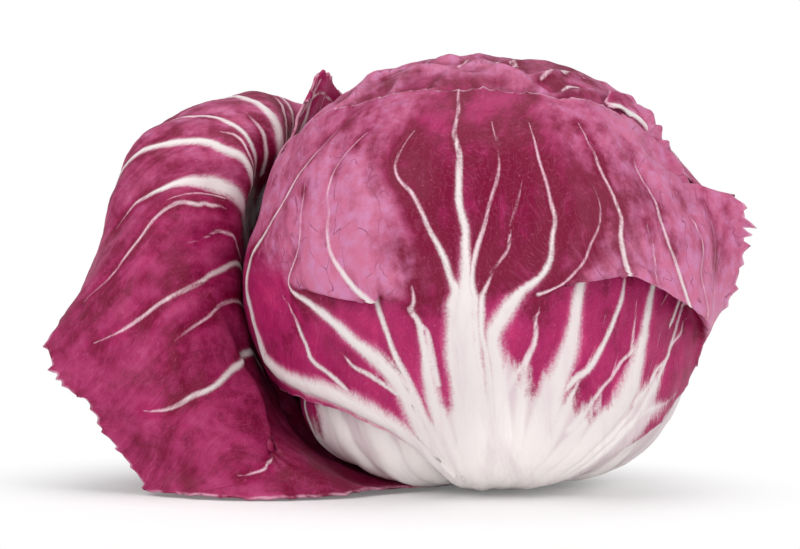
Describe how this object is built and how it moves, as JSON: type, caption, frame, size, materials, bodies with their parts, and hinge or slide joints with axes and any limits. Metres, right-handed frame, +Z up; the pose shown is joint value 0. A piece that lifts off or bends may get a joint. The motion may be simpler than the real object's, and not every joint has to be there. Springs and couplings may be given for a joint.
{
  "type": "radicchio head",
  "caption": "Round radicchio head of closely wrapped red leaves with white ribs, resting on its cut stem, with one outer leaf splayed to the side.",
  "frame": {"origin": "centre of the cut stem's flat face, which the head rests on", "axes": "+Z up through the head, -Y towards the front leaf, -X towards the splayed leaf"},
  "size_m": [0.1825, 0.1379, 0.1143],
  "materials": {
    "outer_leaf": "waxy crimson blade with white ribs",
    "inner_leaf": "satin pink-red blade with a white base",
    "stem": "matt cream cut stem"
  },
  "bodies": {
    "root": {"front_leaf": "outer_leaf", "splayed_leaf": "outer_leaf", "back_right_leaf": "outer_leaf", "tip_leaf": "outer_leaf", "crown_leaf": "outer_leaf", "lower_left_leaf": "outer_leaf", "right_leaf": "outer_leaf", "back_left_leaf": "outer_leaf", "inner_leaf_01": "inner_leaf", "inner_leaf_02": "inner_leaf", "inner_leaf_03": "inner_leaf", "inner_leaf_04": "inner_leaf", "inner_leaf_05": "inner_leaf", "inner_leaf_06": "inner_leaf", "inner_leaf_07": "inner_leaf", "inner_leaf_08": "inner_leaf", "inner_leaf_09": "inner_leaf", "inner_leaf_10": "inner_leaf", "inner_leaf_11": "inner_leaf", "inner_leaf_12": "inner_leaf", "heart_bud": "inner_leaf", "stem": "stem"}
  },
  "joints": []
}
